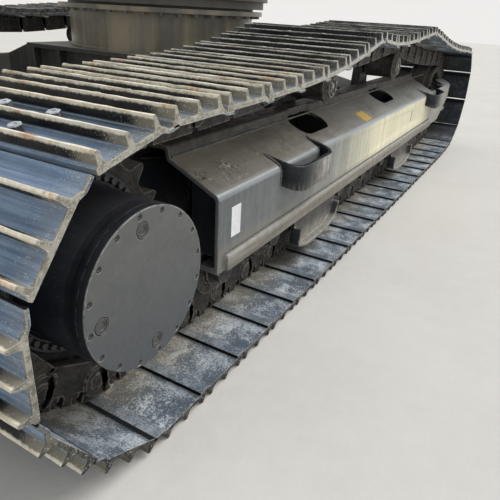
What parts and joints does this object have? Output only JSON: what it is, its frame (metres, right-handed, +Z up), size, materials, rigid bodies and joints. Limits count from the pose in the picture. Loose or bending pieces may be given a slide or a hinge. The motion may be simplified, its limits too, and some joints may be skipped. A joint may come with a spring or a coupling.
{
  "type": "crawler undercarriage of an excavator",
  "caption": "Crawler undercarriage of a large excavator: two tracks with shoes, side frames and final drives, a carbody with legs, and a turning slewing ring on top.",
  "frame": {"origin": "on the ground, under the slewing axis, which is at the middle of the tracks' length", "axes": "+X forward, towards the idlers; +Y left; +Z up, along the slewing axis"},
  "size_m": [5.0848, 3.44, 1.198],
  "materials": {
    "frame_paint": "dusty warm grey-black satin paint, lighter and streaked on the walls",
    "drum_paint": "satin black paint with fine runs and dust",
    "cover_paint": "satin dark grey paint with a rubbed bright rim",
    "shoe_steel": "dark bluish rolled steel, dusty, tan and rusty on the worn grouser tips",
    "chain_steel": "brown-black oily dirt over forged steel, polished on the treads",
    "cast_parts": "dirty cast iron",
    "guard_steel": "light grey-tan worn paint, scraped at the bottom",
    "ring_steel": "dark machined steel with grease and dust"
  },
  "bodies": {
    "undercarriage": {"carbody": "frame_paint", "pedestal": "frame_paint", "belly_cover": "frame_paint", "swivel_joint": "cast_parts", "slew_ring_inner": "ring_steel", "left_side_frame": "frame_paint", "left_track": "shoe_steel", "left_sprocket": "chain_steel", "left_final_drive": "drum_paint", "left_drive_cover": "cover_paint", "left_travel_motor": "cast_parts", "left_motor_guard": "frame_paint", "left_idler": "chain_steel", "left_idler_yoke": "cast_parts", "left_track_adjuster": "cast_parts", "left_carrier_rollers": "chain_steel", "left_carrier_brackets": "frame_paint", "left_track_rollers": "chain_steel", "left_track_guards": "guard_steel", "left_steps": "frame_paint", "right_side_frame": "frame_paint", "right_track": "shoe_steel", "right_sprocket": "chain_steel", "right_final_drive": "drum_paint", "right_drive_cover": "cover_paint", "right_travel_motor": "cast_parts", "right_motor_guard": "frame_paint", "right_idler": "chain_steel", "right_idler_yoke": "cast_parts", "right_track_adjuster": "cast_parts", "right_carrier_rollers": "chain_steel", "right_carrier_brackets": "frame_paint", "right_track_rollers": "chain_steel", "right_track_guards": "guard_steel", "right_steps": "frame_paint"},
    "slewing_race": {"slew_ring_outer": "ring_steel"}
  },
  "joints": [
    {"name": "slew", "type": "hinge", "parent": "undercarriage", "child": "slewing_race", "pos_m": [0, 0, 1.15], "axis": [0, 0, 1], "continuous": true}
  ]
}
